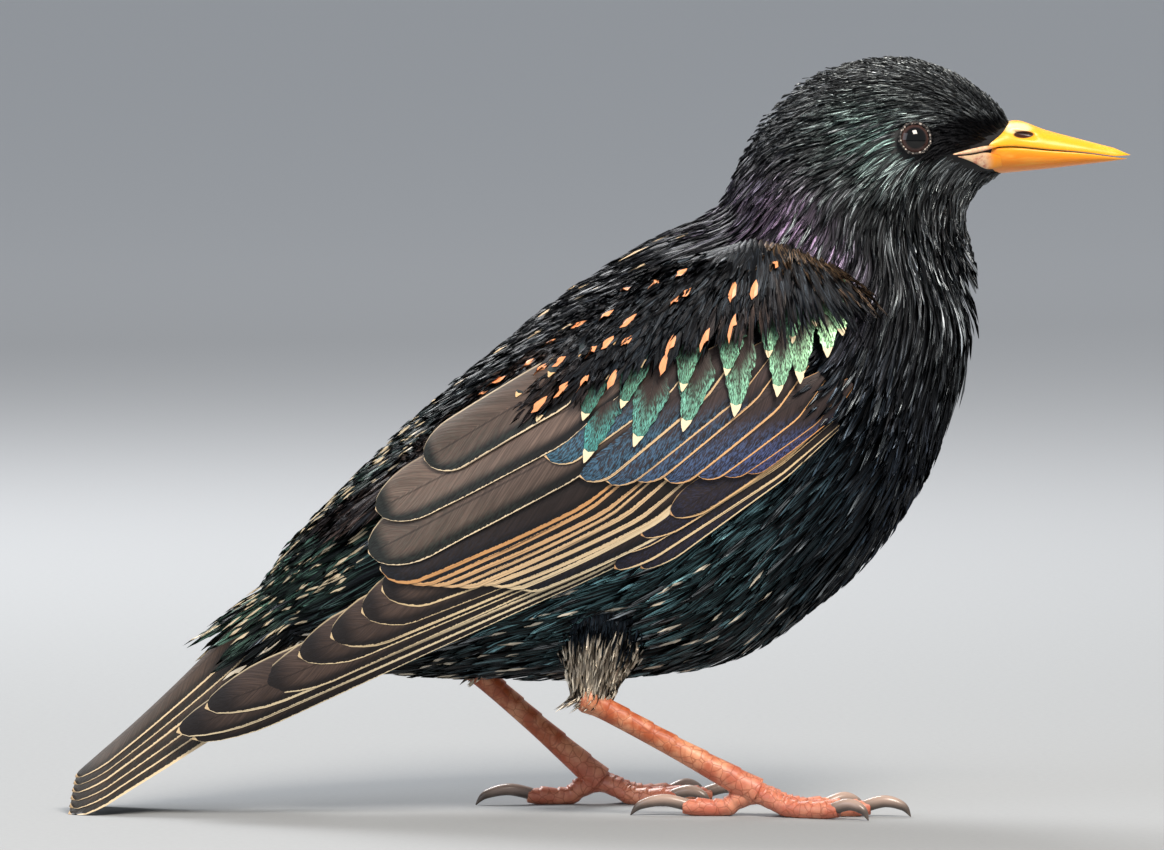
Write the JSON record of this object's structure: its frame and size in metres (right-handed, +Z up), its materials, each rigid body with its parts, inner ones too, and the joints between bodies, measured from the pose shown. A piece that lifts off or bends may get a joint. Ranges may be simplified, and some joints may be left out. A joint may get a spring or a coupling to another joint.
{
  "type": "starling model",
  "caption": "Life-size standing songbird with folded wings, a straight pointed bill, a short square tail and spread toes, posed in side view.",
  "frame": {"origin": "middle of the bird's bounding box, on the floor it stands on", "axes": "+X towards the bill, +Y to the bird's left, +Z up"},
  "size_m": [0.1722, 0.0594, 0.1225],
  "materials": {
    "body_feathers": "satin black feathers with a green and violet gloss",
    "hackles": "glossy pointed black feathers",
    "wing_feathers": "satin brown vanes with buff edges",
    "tail_feathers": "satin brown vanes with pale edges",
    "thigh_feathers": "soft mottled brown feathers",
    "bill": "smooth yellow horn",
    "eye": "wet dark brown",
    "leg_skin": "scaly reddish skin",
    "claw": "grey-brown horn"
  },
  "bodies": {
    "root": {"head": "hackles", "neck": "hackles", "torso": "body_feathers", "wing_right": "wing_feathers", "wing_left": "wing_feathers", "tail": "tail_feathers", "thigh_right": "thigh_feathers", "thigh_left": "thigh_feathers", "bill_upper": "bill", "bill_lower": "bill", "eye_right": "eye", "eye_left": "eye", "leg_right": "leg_skin", "leg_left": "leg_skin", "toe_middle_right": "leg_skin", "toe_inner_right": "leg_skin", "toe_outer_right": "leg_skin", "toe_hind_right": "leg_skin", "toe_middle_left": "leg_skin", "toe_inner_left": "leg_skin", "toe_outer_left": "leg_skin", "toe_hind_left": "leg_skin", "claw_middle_right": "claw", "claw_inner_right": "claw", "claw_outer_right": "claw", "claw_hind_right": "claw", "claw_middle_left": "claw", "claw_inner_left": "claw", "claw_outer_left": "claw", "claw_hind_left": "claw"}
  },
  "joints": []
}
